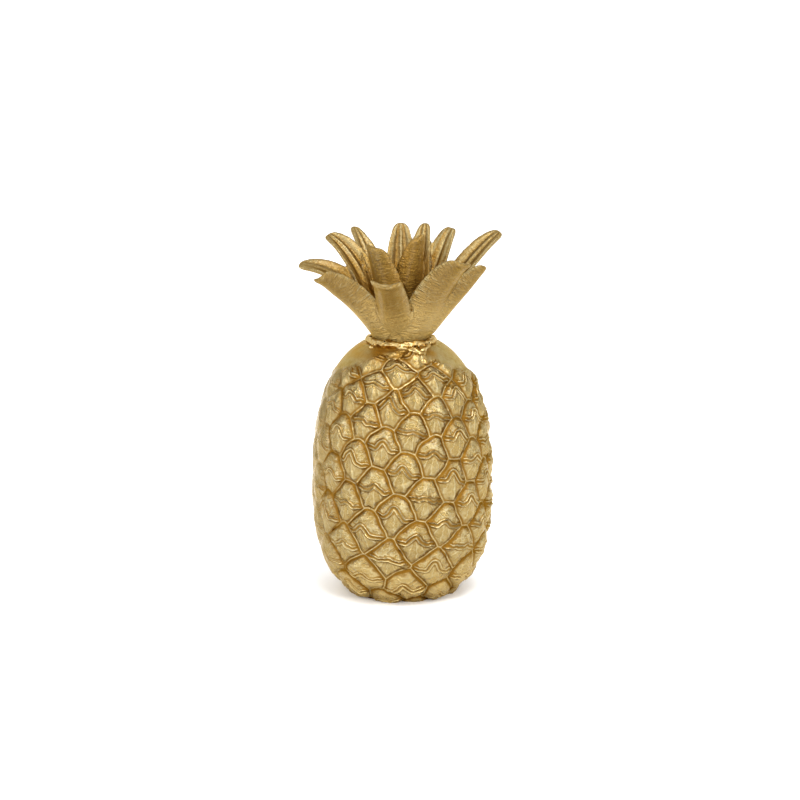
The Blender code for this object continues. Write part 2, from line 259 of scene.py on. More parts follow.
class Fold:
    """The carving inside one eye: a wavy double ridge from side to side, with creases in all
    directions above it and fanning out below. Lengths are millimetres from the eye's middle."""

    def __init__(self, count, outline):
        pick = np.random.default_rng(1000 + count)
        left, right = outline[outline[:, 0].argmin()], outline[outline[:, 0].argmax()]
        start = np.clip(left[1] + pick.uniform(-1.0, 1.5), -2.6, 2.0)
        end = np.clip(right[1] + pick.uniform(-0.5, 0.5), -2.6, 1.8)
        self.tilt = (end - start) / (right[0] - left[0])
        self.base = (start + end) / 2
        self.hump = pick.choice([0.9, 2.4, 4.0, 5.4], p=[0.25, 0.25, 0.3, 0.2])
        self.middle = pick.uniform(-1.9, 1.4)
        self.spread = pick.uniform(1.9, 2.5) + 0.12 * self.hump
        self.droop = pick.uniform(0.2, 0.9)
        self.waver = pick.uniform(0.05, 0.3)
        self.phase = pick.uniform(0, 6.28)
        self.depth = pick.uniform(0.75, 1.25)
        self.dents = [
            (pick.uniform(-4.2, 4.2), pick.uniform(2.0, 5.2), pick.uniform(0.7, 1.5),
             pick.choice([-0.50, 0.42]) * pick.uniform(0.6, 1.2)) for _ in range(6)]
        self.creases = pick.integers(6, 11)
        self.beak = pick.uniform(0.15, 0.65)
        turns = pick.uniform(-0.9, 0.9, 6)
        rates = 2 * math.pi / pick.uniform(2.2, 5.0, 6)
        self.swirls = np.stack([rates * np.sin(turns), rates * np.cos(turns), pick.uniform(0, 6.28, 6)])
        reach = np.arange(left[0] - 1, right[0] + 1, 0.1)
        path = np.stack([reach, self.line(reach)], axis=1)
        run = np.concatenate([[0], np.cumsum(np.linalg.norm(np.diff(path, axis=0), axis=1))])
        marks = np.arange(0, run[-1], FOLD_STEP)
        self.path = np.stack([np.interp(marks, run, path[:, axis]) for axis in (0, 1)], axis=1)

    def line(self, x):
        """Height of the double ridge across the eye."""
        off = (x - self.middle) / self.spread
        return (self.base + self.tilt * x + self.hump * np.exp(-off ** 2)
                - self.droop * np.exp(-(np.abs(off) - 1.7) ** 2 / 0.6)
                + self.waver * np.sin(1.7 * x + self.phase))

    def away(self, spots):
        """Signed distance from the double ridge, positive above it."""
        side = np.where(spots[:, 1] > self.line(spots[:, 0]), 1, -1)
        return side * distances(spots, self.path[:-1], self.path[1:]).min(axis=1)

    def beside(self, offset):
        """Points along the double ridge, set off to one side of it."""
        ahead = np.gradient(self.path, axis=0)
        ahead /= np.linalg.norm(ahead, axis=1)[:, None]
        return self.path + offset * np.stack([-ahead[:, 1], ahead[:, 0]], axis=1)

    def rise(self, spots, away):
        """How far the carving lifts or sinks the cushion."""
        x, y = spots.T
        lift = LIP_LIFT * bell(np.abs(away) - LIP_PLACE, LIP_WIDTH)
        lift -= (FURROW_DEPTH * bell(away, FURROW_WIDTH)
                 + FLANK_DEPTH * bell(np.abs(away) - FLANK_PLACE, FURROW_WIDTH))
        above, below = smooth_step(1.0, 2.2, away), smooth_step(-1.0, -2.2, away)
        for at_x, at_y, size, depth in self.dents:
            off = (x - at_x) ** 2 + (y - self.line(x) - at_y) ** 2
            lift += depth * above * np.exp(-off / size ** 2)
        crease = self.crease(spots, away)
        lift += (CREASE_LIFT_ABOVE * above + CREASE_LIFT_BELOW * below) * (
            bell(crease, CREASE_WIDTH) - CREASE_LEVEL)
        lift += self.beak * below * (
            bell(x - self.middle * (1 + 0.15 * away), BEAK_WIDTH) - BEAK_LEVEL)
        return lift * self.depth

    def crease(self, spots, away):
        """A field whose zero lines are the small creases: random above, fanning out below."""
        x, y = spots.T
        swirl = np.sin(self.swirls[0] * x[:, None] + self.swirls[1] * y[:, None] + self.swirls[2])
        source = self.base + self.hump + 1.5
        turn = np.arctan2(x - self.middle, source - y)
        fan = np.sin(turn * self.creases + self.phase + 0.25 * swirl[:, 0])
        fan += 2 * smooth_step(3.2, 1.6, np.hypot(x - self.middle, y - source))
        share = smooth_step(-0.6, 0.6, away)
        return share * swirl.mean(axis=1) * 2.2 + (1 - share) * fan


def eye_spots(border, fold):
    """Where the mesh of an eye gets its points: closest at the border and along the fold."""
    reach = np.linalg.norm(border, axis=1)[:, None]
    rings = [(border * (1 - inset / reach), spacing) for inset, spacing in RINGS]
    lines = [(fold.beside(offset), LINE_SPACING) for offset in FOLD_LINES]
    steps = np.arange(-GRID_REACH, GRID_REACH, FILL_STEP)
    grid = np.array([
        (x + (count % 2) * FILL_STEP / 2, y) for count, y in enumerate(steps) for x in steps])
    spots = border
    in_turn = rings[:CLOSE_RINGS] + lines + rings[CLOSE_RINGS:] + [(grid, GRID_SPACING)]
    for more, spacing in in_turn:
        more = more[within(more, border)]
        near = distances(more, border, np.roll(border, -1, axis=0)).min(axis=1)
        more = more[near > min(spacing, BORDER_CLEARANCE)]
        for spot in more:
            if ((spots - spot) ** 2).sum(axis=1).min() > spacing ** 2:
                spots = np.concatenate([spots, [spot]])
    return spots


eyes = []
for count in range(FIRST_EYE, LAST_EYE + 1):
    height = FIRST_EYE_HEIGHT - EYE_DROP * count - EYE_DROP_GROWTH * count ** 2
    if -2 * SPARE_HEIGHT < height < NECK_HEIGHT + 2 * SPARE_HEIGHT:
        turn = (FIRST_TURN + TURN_STEP * count + math.pi) % (2 * math.pi) - math.pi
        eyes.append((turn, float(np.interp(height, heights, rows)), height, count))
seeds = np.array([eye[:2] for eye in eyes])
everyone = np.concatenate([seeds + (turns * 2 * math.pi, 0) for turns in (-1, 0, 1)])
eyes = [eye for eye in eyes if -1.5 * SPARE_HEIGHT < eye[2] < NECK_HEIGHT + 1.5 * SPARE_HEIGHT]
outlines = drawn_out([eye_outline(np.array(eye[:2]), everyone) for eye in eyes])
points, faces, borders, waves, creases, eye_shades, shoulders, left_shades = [], [], [], [], [], [], [], []
total = 0
for (_, _, height, count), outline in zip(eyes, outlines):
    if not -0.7 * SPARE_HEIGHT < height < NECK_HEIGHT + 0.7 * SPARE_HEIGHT:
        continue
    bowed, owners = border_points(outline)
    middle = outline.mean(axis=0)
    scale = float(np.interp(middle[1], rows, radii)) / MM
    border = (bowed - middle) * scale
    fold = Fold(count, (outline - middle) * scale)
    spots, _, triangles, *_ = delaunay_2d_cdt(
        [Vector(spot) for spot in eye_spots(border, fold)], [], [list(range(len(border)))], 1,
        TRIANGLE_SLACK)
    spots = np.array([tuple(spot) for spot in spots])
    near = distances(spots, border, np.roll(border, -1, axis=0))
    near = np.stack([near[:, owners == owner].min(axis=1) for owner in range(len(outline))])
    nearest = near.min(axis=0)
    rounded = np.maximum(near, LEAST_DISTANCE) ** -CORNER_ROUNDING
    rounded = rounded.sum(axis=0) ** (-1 / CORNER_ROUNDING)
    away = fold.away(spots)
    place = middle + spots / scale
    where = skin(place[:, 0], place[:, 1], 0.0)
    dome = 1 - (1 - np.minimum(rounded / DOME_REACH, 1.0)) ** 2
    slope = 1 - np.exp(-(rounded / GROOVE_WIDTH) ** GROOVE_STEEPNESS)
    cushion = -GROOVE_DEPTH + GROOVE_DEPTH * slope + DOME_RISE * dome
    lift = cushion + (ROPE_LIFT + ROPE_SWELL * ripple(where, ROPE_WAVE, 3)) * bell(
        nearest, ROPE_WIDTH + ROPE_WIDTH_SWELL * ripple(where, ROPE_WIDTH_WAVE, 5))
    lift += fold.rise(spots, away) * smooth_step(0.6, 1.5, nearest)
    lift += UNEVEN_LIFT * ripple(where, UNEVEN_WAVE, 4) * smooth_step(0.4, 1.5, nearest)
    drop = SIDE_FADE_DROP * (1 - bell(place[:, 0], FRONT_SPREAD))
    fade = smooth_step(
        FADE_END, FADE_START - 0.5 * drop, np.interp(place[:, 1], rows, heights) + drop)
    shoulders.append(1 - fade)
    fade *= 1 - WORN_SHARE * bell(place[:, 0] - WORN_TURN, WORN_SPREAD)
    lift = lift * fade
    points.append(skin(place[:, 0], place[:, 1], lift * MM))
    faces += [tuple(total + corner for corner in triangle) for triangle in triangles]
    borders.append(nearest + 4 * (1 - fade))
    waves.append(away + np.sign(away) * (4 * (1 - fade) + 3 * smooth_step(1.0, 0.5, nearest)))
    creases.append(fold.crease(spots, away) + 3 * (1 - fade))
    # Painted shade: each eye darker over its upper part, towards its border and beside its fold.
    upper = smooth_step(-2.0, 6.0, spots[:, 1])
    stain = (0.40 + 0.60 * upper) * smooth_step(3.6, 0.6, rounded) + 0.4 * bell(away, 2.0)
    eye_shades.append(stain * fade)
    # Painted shade: a broad band down the left side, darker and duller.
    left_shades.append(bell(place[:, 0] - WORN_TURN, LEFT_SHADE_SPREAD))
    total += len(spots)

data = bpy.data.meshes.new("fruit_skin")
data.from_pydata(np.concatenate(points).tolist(), [], faces)
for name, values in (
        ("border", borders), ("wave", waves), ("crease", creases), ("stain", eye_shades),
        ("shoulder", shoulders), ("dull", left_shades)):
    kept = data.attributes.new(name, "FLOAT", "POINT")
    kept.data.foreach_set("value", np.concatenate(values).astype(np.float32))
mesh = bmesh.new()
mesh.from_mesh(data)
bmesh.ops.remove_doubles(mesh, verts=mesh.verts, dist=MERGE_DISTANCE)
for height, side in ((0.0, -1), (NECK_HEIGHT, 1)):
    bmesh.ops.bisect_plane(
        mesh, geom=mesh.verts[:] + mesh.edges[:] + mesh.faces[:], dist=MERGE_DISTANCE,
        plane_co=(0, 0, height), plane_no=(0, 0, side), clear_outer=True)
    rim = [edge for edge in mesh.edges if edge.is_boundary and
           all(abs(vert.co.z - height) < FINE_STEP for vert in edge.verts)]
    bmesh.ops.holes_fill(mesh, edges=rim)
bmesh.ops.recalc_face_normals(mesh, faces=mesh.faces)
mesh.to_mesh(data)
mesh.free()
data.shade_smooth()
data.set_sharp_from_angle(angle=SHARP_ANGLE)
fruit_skin = bpy.data.objects.new("fruit_skin", data)
bpy.context.scene.collection.objects.link(fruit_skin)


class Shade:
    """A node's socket in a sum: numbers and other sockets combine with it by Math nodes."""

    def __init__(self, tree, socket=None):
        self.tree = tree
        self.socket = socket

    def node(self, kind, settings=None, sockets=None, output=0):
        """Add a node, set it up, then give its sockets values or links."""
        made = self.tree.nodes.new(kind)
        for name, value in (settings or {}).items():
            if name == "stops":
                ramp = made.color_ramp
                while len(ramp.elements) < len(value):
                    ramp.elements.new(1.0)
                for stop, (place, colour) in zip(ramp.elements, value):
                    stop.position = place
                    stop.color = (*colour, 1.0)
            else:
                setattr(made, name, value)
        for name, value in (sockets or {}).items():
            if isinstance(value, Shade):
                self.tree.links.new(value.socket, made.inputs[name])
            else:
                made.inputs[name].default_value = value
        return Shade(self.tree, made.outputs[output])

    def math(self, operation, *values):
        return self.node("ShaderNodeMath", {"operation": operation}, dict(enumerate(values)))

    def __add__(self, other):
        return self.math("ADD", self, other)

    def __sub__(self, other):
        return self.math("SUBTRACT", self, other)

    def __rsub__(self, other):
        return self.math("SUBTRACT", other, self)

    def __mul__(self, other):
        return self.math("MULTIPLY", self, other)

    def __truediv__(self, other):
        return self.math("DIVIDE", self, other)

    def __abs__(self):
        return self.math("ABSOLUTE", self)

    __radd__ = __add__
    __rmul__ = __mul__

    def between(self, low, high):
        """A soft step of this value from 0 at low to 1 at high."""
        return self.node(
            "ShaderNodeMapRange", {"interpolation_type": "SMOOTHSTEP"},
            {"Value": self, "From Min": low, "From Max": high})

    def bell(self, middle, width):
        """1 at middle, dying away over width on both sides."""
        off = (self - middle) / width
        return self.math("EXPONENT", off * off * -1.0)

    def attribute(self, name):
        return self.node("ShaderNodeAttribute", {"attribute_name": name}, output="Fac")

    def grain(self, scale, detail=2.0, roughness=0.5, distortion=0.0):
        """Noise on object coordinates."""
        place = self.node("ShaderNodeTexCoord", output="Object")
        return self.node("ShaderNodeTexNoise", None, {
            "Vector": place, "Scale": scale, "Detail": detail, "Roughness": roughness,
            "Distortion": distortion})

    def blend(self, mask, low, high):
        """A colour between two, by a mask."""
        return self.node("ShaderNodeMix", {"data_type": "RGBA"}, {
            "Factor": mask, 6: low, 7: high}, output=2)


def paint_of(name):
    """A new material, its sums, and its shader node."""
    paint = bpy.data.materials.new(name)
    paint.use_nodes = True
    return paint, Shade(paint.node_tree), paint.node_tree.nodes["Principled BSDF"]


BRIGHT_GOLD = (0.385, 0.316, 0.160, 1.0)
SATIN_GOLD = (0.250, 0.168, 0.047, 1.0)
BROWN_GOLD = (0.170, 0.081, 0.009, 1.0)
EDGE_GOLD = (0.85, 0.68, 0.38, 1.0)
WARM_GOLD = (0.345, 0.190, 0.034, 1.0)
LEFT_SHADE_GOLD = (0.200, 0.146, 0.060, 1.0)
BOTTOM_LIGHT_GOLD = (0.430, 0.300, 0.098, 1.0)
LOW_ROWS = (0.034, 0.006)
COLLAR = (0.1235, 0.1300)


def gold_finish(sums, shader, colour, relief, coat_roughness):
    """Give a shader its colour and fine relief, and what all the ornament's gold shares."""
    bump = sums.node(
        "ShaderNodeBump", None, {"Strength": 1.0, "Distance": MM, "Height": relief}, output="Normal")
    sums.tree.links.new(colour.socket, shader.inputs["Base Color"])
    sums.tree.links.new(bump.socket, shader.inputs["Normal"])
    shader.inputs["Metallic"].default_value = 1.0
    shader.inputs["Specular Tint"].default_value = EDGE_GOLD
    shader.inputs["Coat Roughness"].default_value = coat_roughness


paint, sums, shader = paint_of("fruit_gold")
border = sums.attribute("border")
wave = sums.attribute("wave")
stain = sums.attribute("stain")
shoulder = sums.attribute("shoulder")
inside = border.between(0.6, 1.3)
place = sums.node("ShaderNodeTexCoord", output="Object")
height = sums.node("ShaderNodeSeparateXYZ", None, {"Vector": place}, output="Z")
low = height.between(*LOW_ROWS)
collar = height.between(*COLLAR)
mottle = sums.grain(240, 3)
patches = sums.grain(70, 2)
fine = sums.grain(1500, 2)
wrinkle = sums.grain(560, 3, 0.55, distortion=0.8)
lips = (wave.bell(LIP_PLACE, 0.22) + wave.bell(-LIP_PLACE, 0.22)) * inside
furrow = wave.bell(0.0, 0.55) * inside
flank = (wave.bell(1.55, 0.42) + wave.bell(-1.55, 0.42)) * inside
crease = sums.attribute("crease")
apart = abs(wave).between(1.3, 2.2) * border.between(1.0, 2.0)
# Painted highlight along the small crease ridges and painted shade in their troughs.
streak = crease.bell(0.0, 0.20) * apart
trough = crease.bell(0.55, 0.30) * apart
seam = border.bell(0.0, 0.25)
gutter = border.bell(0.78, 0.52)
# Dark share: brown patina in the grooves and the fold's furrow and flanks, with painted shade in the
# crease troughs and over each eye's upper part.
dark = (
    gutter * 0.66 + furrow * 0.66 + flank * 0.60 + trough * 0.34 + stain * 0.66
    + (mottle - 0.5) * 0.7 + (patches - 0.5) * 0.6)
# Light share: the ropes and the fold's lips lighter, partly wear on the raised lines and partly painted
# highlight, with painted highlights on the crease streaks and painted light on the bottom rows.
bright = (
    seam * (patches + 0.05) + lips * (patches + 0.20) + streak * 0.50 + (mottle - 0.5) * 1.3
    + (wrinkle - 0.5) * 1.3 + shoulder * 0.35 + low * 0.10 + 0.30)
colour = sums.blend(bright.between(0.0, 1.1), SATIN_GOLD, BRIGHT_GOLD)
colour = sums.blend(collar * patches.between(0.35, 0.65), colour, WARM_GOLD)
# Painted shade down the left side, below the shoulder.
colour = sums.blend(sums.attribute("dull") * (1 - shoulder) * 0.95, colour, LEFT_SHADE_GOLD)
# Painted light: the bottom rows lighter, as the white floor would light them.
colour = sums.blend(low * 0.65, colour, BOTTOM_LIGHT_GOLD)
# How far the gold turns brown, for patina and painted shade alike.
patina_and_shade = (dark - seam * 0.22 - lips * 0.40 - low * 0.12).between(0.1, 1.10)
colour = sums.blend(patina_and_shade, colour, BROWN_GOLD)
crumple = sums.grain(1150, 2, 0.6, distortion=0.5)
above = wave.between(1.0, 2.2) * inside
relief = (
    seam * 0.04 + lips * 0.04 + streak * 0.10 - trough * 0.06
    + (wrinkle - 0.5) * inside * (0.44 - shoulder * 0.32)
    + (crumple - 0.5) * (above * (1 - shoulder) * 0.24 + 0.10)
    + (fine - 0.5) * 0.05)
gold_finish(sums, shader, colour, relief, 0.17)
rough = 0.28 + patina_and_shade * 0.20 + shoulder * 0.06 + (mottle - 0.5) * 0.12
polish = (0.40 - patina_and_shade * 0.38) * (1 - shoulder * 0.8)
sums.tree.links.new(rough.socket, shader.inputs["Roughness"])
sums.tree.links.new(polish.socket, shader.inputs["Coat Weight"])
fruit_skin.data.materials.append(paint)
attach(fruit_skin, "root")
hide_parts("fruit")

# The crown is a second casting in one piece, pinholed here and there: thirteen blunt leaves
# fused at their feet to a short solid root. Their outer faces were filed across, which left
# fine wavy lines, and their inner faces keep the midrib and grooves of the pattern.
JOINT_GAP = 0.3 * MM
ROOT_PROFILE = (
    (0.0000, 0.1490), (0.0080, 0.1480), (0.0138, 0.1450), (0.0160, 0.1410), (0.0158, 0.1380),
    (0.0152, 0.1356), (0.0150, NECK_HEIGHT + JOINT_GAP), (0.0, NECK_HEIGHT + JOINT_GAP),
)
LEAF_ROOT_HEIGHT = 0.1370
LEAF_THICKNESS = 0.0036
LEAF_CUPPING = 0.50
FLARE_END = 0.85
TIP_START = 0.72
TIP_ROUNDNESS = 2.2
TIP_THICKNESS = 0.80
TIP_EASE = 2.2 * MM
TWIST_RATE = 1.6
LEAF_STATIONS = 64
SECTION_POINTS = 44
VOXEL = 0.58 * MM
EDGE_SMOOTHING = 6
FOOT_SMOOTHING = 75
FOOT_MIDDLE = 0.147
FOOT_TOP = 0.161
SMOOTHING_FACTOR = 0.5
ROOT_SIDES = 96
TIP_CROWDING = 1.6
SIDE_CROWDING = 0.85
EDGE_FULLNESS = 2.8
EDGE_ROUNDNESS = 2.2
OUTER_DEPTH = 0.40
INNER_DEPTH = 0.55
MIDRIB_LIFT = 0.24
MIDRIB_WIDTH = 0.13
RIB_GROOVE_PLACE = 0.33
RIB_GROOVE_DEPTH = 0.26
RIB_GROOVE_WIDTH = 0.17
TIP_THINNING = 0.94
TIP_WIDTH = 0.86
TIP_WIDTH_GAIN = 0.14
LOBE_PLACE = 0.92
LOBE_LENGTH = 0.08
SLANT_START = 0.55
ROLL_START = 0.86
ROLL_END = 1.02
FIELD_STATIONS = 60
BLEND_REACH = 0.25 * MM


class Leaf(NamedTuple):
    """One leaf: its angle, its tip's place, its bend, width, twist and flare at the root, the
    roll of its tip, how much it widens there, how its midrib stands, and how blunt and how
    slanting its tip is."""
    turn: float
    reach: float
    height: float
    root_reach: float
    bend_out: float
    bend_up: float
    width: float
    twist: float
    flare: float
    roll: float
    lobe: float
    rib: float
    blunt: float
    slant: float


LEAVES = {
    "front": Leaf(
        -10, 0.0460, 0.1685, 0.0125, 0.50, 0.72, 0.0150, 0, 0.35, 0.8, 0.14, 0.4, 0.78, -0.10),
    "front_left": Leaf(
        -60, 0.0480, 0.1690, 0.0145, 0.47, 0.74, 0.0140, -32, 0.95, 0.6, 0.0, 0.5, 0.62, 0.0),
    "front_right": Leaf(
        46, 0.0440, 0.1770, 0.0145, 0.47, 0.78, 0.0150, 20, 0.95, 0.6, 0.0, 0.5, 0.42, 0.1),
    "right": Leaf(77, 0.0435, 0.1730, 0.0155, 0.50, 0.53, 0.0125, 25, 0.80, 0.3, 0.0, 0.6, 0.20, 0.0),
    "left": Leaf(-95, 0.0530, 0.1710, 0.0130, 0.27, 0.95, 0.0115, 26, 0.90, 0.0, 0.0, 0.3, 0.12, 0.0),
    "back_left": Leaf(
        -122, 0.0455, 0.1840, 0.0134, 0.34, 0.82, 0.0120, 20, 0.90, 0.0, 0.0, 1.0, 0.20, 0.0),
    "back_left_inner": Leaf(
        -144, 0.0430, 0.1870, 0.0134, 0.36, 0.68, 0.0088, 0, 1.60, 0.0, 0.0, 0.8, 0.20, 0.0),
    "back": Leaf(180, 0.0330, 0.1895, 0.0138, 0.50, 0.62, 0.0115, 0, 1.20, 0.0, 0.0, 1.0, 0.16, 0.0),
    "back_right_inner": Leaf(
        155, 0.0310, 0.1900, 0.0136, 0.50, 0.62, 0.0095, 0, 1.50, 0.0, 0.0, 0.9, 0.14, 0.0),
    "back_right": Leaf(
        131, 0.0355, 0.1880, 0.0136, 0.45, 0.68, 0.0106, -15, 0.90, 0.0, 0.0, -1.0, 0.30, 0.0),
    "far_right": Leaf(
        105, 0.0535, 0.1870, 0.0138, 0.50, 0.72, 0.0116, -25, 0.70, 0.0, 0.0, 0.7, 0.22, 0.0),
    "inner_left": Leaf(
        -37, 0.0235, 0.1840, 0.0045, 0.50, 0.55, 0.0146, 0, 0.75, 0.3, 0.0, 0.6, 0.50, -0.25),
    "inner_right": Leaf(
        27, 0.0185, 0.1890, 0.0035, 0.40, 0.50, 0.0125, 0, 1.15, 0.8, 0.0, 0.6, 0.35, 0.60),
}
UP = np.array([0.0, 0.0, 1.0])


def leaf_frames(leaf, along):
    """Middle points, directions across and out of the leaf, and half-widths down its length."""
    along = along[:, None]
    root = np.array([leaf.root_reach, LEAF_ROOT_HEIGHT])
    tip = np.array([leaf.reach, leaf.height])
    bend = root + (tip - root) * (leaf.bend_out, leaf.bend_up)
    middle = root * (1 - along) ** 2 + bend * 2 * along * (1 - along) + tip * along ** 2
    forward = (bend - root) * (1 - along) + (tip - bend) * along
    forward /= np.linalg.norm(forward, axis=1)[:, None]
    turn = math.radians(leaf.turn)
    outward = np.array([math.sin(turn), -math.cos(turn), 0])
    across = np.array([math.cos(turn), math.sin(turn), 0])
    centre = outward * middle[:, :1] + UP * middle[:, 1:]
    face = outward * forward[:, 1:] - UP * forward[:, :1]
    twist = math.radians(leaf.twist) * np.minimum(1.0, along * TWIST_RATE)
    wide = across * np.cos(twist) + face * np.sin(twist)
    deep = face * np.cos(twist) - across * np.sin(twist)
    along = along[:, 0]
    half = leaf.width / 2 * (1 + leaf.flare * np.maximum(0.0, 1 - along / FLARE_END))
    share = np.clip((along - TIP_START) / (1 - TIP_START), 0, 1)
    half *= leaf.blunt + (1 - leaf.blunt) * np.sqrt(np.maximum(0.0, 1 - share ** TIP_ROUNDNESS))
    centre += deep * (leaf.roll * MM * smooth_step(ROLL_START, ROLL_END, along) ** 2)[:, None]
    return centre, wide, deep, half


def leaf_points(leaf):
    """Rings of points down a leaf: a rounded outer face, and an inner face with its ribs."""
    along = 1 - (1 - np.linspace(0, 1, LEAF_STATIONS)) ** TIP_CROWDING
    centre, wide, deep, half = leaf_frames(leaf, along)
    turn = np.linspace(0, 2 * math.pi, SECTION_POINTS, endpoint=False)
    x = np.sign(np.cos(turn)) * np.abs(np.cos(turn)) ** SIDE_CROWDING
    edge = (1 - np.abs(x) ** EDGE_FULLNESS) ** (1 / EDGE_ROUNDNESS)
    ribs = leaf.rib * (MIDRIB_LIFT * bell(x, MIDRIB_WIDTH)
                       - RIB_GROOVE_DEPTH * bell(np.abs(x) - RIB_GROOVE_PLACE, RIB_GROOVE_WIDTH))
    full = np.minimum(1.0, half / (leaf.width / 2))[:, None]
    depth = np.where(np.sin(turn) < 0, OUTER_DEPTH - OUTER_DEPTH * edge,
                     OUTER_DEPTH + INNER_DEPTH * edge + ribs * full ** 2)
    thick = LEAF_THICKNESS * (TIP_THICKNESS + (1 - TIP_THICKNESS) * full)
    to_go = np.linalg.norm(centre - centre[-1], axis=1)[:, None]
    eased = np.sqrt(1 - (1 - np.minimum(to_go / TIP_EASE, 1.0)) ** 2 * TIP_THINNING)
    thick = thick * eased
    half = half * (TIP_WIDTH + TIP_WIDTH_GAIN * eased[:, 0])
    inward = LEAF_CUPPING * full * half[:, None] * x ** 2 + thick * (depth - 0.5)
    lobe = 1 + leaf.lobe * bell(along[:, None] - LOBE_PLACE, LOBE_LENGTH)
    off = half[:, None] * x * lobe
    ahead = np.cross(wide, deep)
    ahead *= np.sign((ahead * np.gradient(centre, axis=0)).sum(axis=1))[:, None]
    shift = leaf.slant * off * smooth_step(SLANT_START, 1.0, along)[:, None]
    return (centre[:, None] + wide[:, None] * off[..., None] - deep[:, None] * inward[..., None]
            + ahead[:, None] * shift[..., None])


points, faces = [], []
for leaf in LEAVES.values():
    first = sum(len(some) for some in points)
    rings = leaf_points(leaf)
    points.append(rings.reshape(-1, 3))
    for ring in range(LEAF_STATIONS - 1):
        low = first + ring * SECTION_POINTS
        for side in range(SECTION_POINTS):
            after = (side + 1) % SECTION_POINTS
            faces.append((low + side, low + after, low + SECTION_POINTS + after,
                          low + SECTION_POINTS + side))
    faces.append(tuple(first + side for side in range(SECTION_POINTS)))
    last = first + (LEAF_STATIONS - 1) * SECTION_POINTS
    faces.append(tuple(last + side for side in range(SECTION_POINTS)))
data = bpy.data.meshes.new("crown_skin")
data.from_pydata(np.concatenate(points).tolist(), [], faces)
crown_skin = bpy.data.objects.new("crown_skin", data)
bpy.context.scene.collection.objects.link(crown_skin)
root_data = bpy.data.meshes.new("crown_root")
root_data.from_pydata(
    [(radius, 0, height) for radius, height in ROOT_PROFILE],
    [(count, count + 1) for count in range(len(ROOT_PROFILE) - 1)], [])
crown_root = bpy.data.objects.new("crown_root", root_data)
bpy.context.scene.collection.objects.link(crown_root)
turned = crown_root.modifiers.new("turned", "SCREW")
turned.steps = turned.render_steps = ROOT_SIDES
turned.use_merge_vertices = True
turned.merge_threshold = MERGE_DISTANCE
bpy.ops.object.select_all(action="DESELECT")
bpy.context.view_layer.objects.active = crown_root
crown_root.select_set(True)
bpy.ops.object.modifier_apply(modifier="turned")
crown_skin.select_set(True)
bpy.context.view_layer.objects.active = crown_skin
bpy.ops.object.join()
bpy.ops.object.mode_set(mode="EDIT")
bpy.ops.mesh.select_all(action="SELECT")
bpy.ops.mesh.normals_make_consistent(inside=False)
bpy.ops.object.mode_set(mode="OBJECT")
fused = crown_skin.modifiers.new("fused", "REMESH")
fused.mode = "VOXEL"
fused.voxel_size = VOXEL
fused.use_smooth_shade = True
bpy.ops.object.modifier_apply(modifier="fused")
foot = crown_skin.vertex_groups.new(name="foot")
for vert in crown_skin.data.vertices:
    foot.add([vert.index], float(smooth_step(FOOT_TOP, FOOT_MIDDLE, vert.co.z)), "REPLACE")
for name, iterations, group in (("eased", EDGE_SMOOTHING, ""), ("merged", FOOT_SMOOTHING, "foot")):
    eased = crown_skin.modifiers.new(name, "SMOOTH")
    eased.factor = SMOOTHING_FACTOR
    eased.iterations = iterations
    eased.vertex_group = group
    bpy.ops.object.modifier_apply(modifier=name)

data = crown_skin.data
spots = np.zeros(len(data.vertices) * 3)
data.vertices.foreach_get("co", spots)
spots = spots.reshape(-1, 3)
weights, runs, sides, faceds, ribbings = [], [], [], [], []
along = np.linspace(0, 1, FIELD_STATIONS)
for leaf in LEAVES.values():
    centre, wide, deep, half = leaf_frames(leaf, along)
    run = np.concatenate([[0], np.cumsum(np.linalg.norm(np.diff(centre, axis=0), axis=1))])
    nearest = ((spots[:, None] - centre[None]) ** 2).sum(axis=2).argmin(axis=1)
    off = spots - centre[nearest]
    forward = np.gradient(centre, axis=0)
    forward /= np.linalg.norm(forward, axis=1)[:, None]
    side = (off * wide[nearest]).sum(axis=1) / half[nearest]
    facing = (off * deep[nearest]).sum(axis=1) + LEAF_CUPPING * half[nearest] * np.minimum(side ** 2, 1)
    beyond = np.maximum(np.abs(side) - 1, 0) * half[nearest] + np.maximum(
        np.abs(facing) - LEAF_THICKNESS / 2, 0)
    weights.append(1 / (beyond + BLEND_REACH) ** 4)
    runs.append((run[nearest] + (off * forward[nearest]).sum(axis=1)) / MM)
    sides.append(side)
    faceds.append(facing / (LEAF_THICKNESS / 2))
    ribbings.append(np.full(len(spots), abs(leaf.rib)))
weights = np.array(weights)
weights /= weights.sum(axis=0)
for name, values in (
        ("run", runs), ("side", sides), ("outer", faceds), ("ribbing", ribbings)):
    kept = data.attributes.new(name, "FLOAT", "POINT")
    kept.data.foreach_set("value", (np.array(values) * weights).sum(axis=0).astype(np.float32))

LEAF_GOLD = (0.236, 0.147, 0.037, 1.0)
FOOT_LIGHT_GOLD = (0.365, 0.250, 0.080, 1.0)
PIT_SHADE = (0.020, 0.010, 0.004, 1.0)
PIT_SCALE = 150.0
HOLLOW_REACH = (0.026, 0.012)
HOLLOW_RISE = (0.150, 0.160)
paint, sums, shader = paint_of("crown_gold")
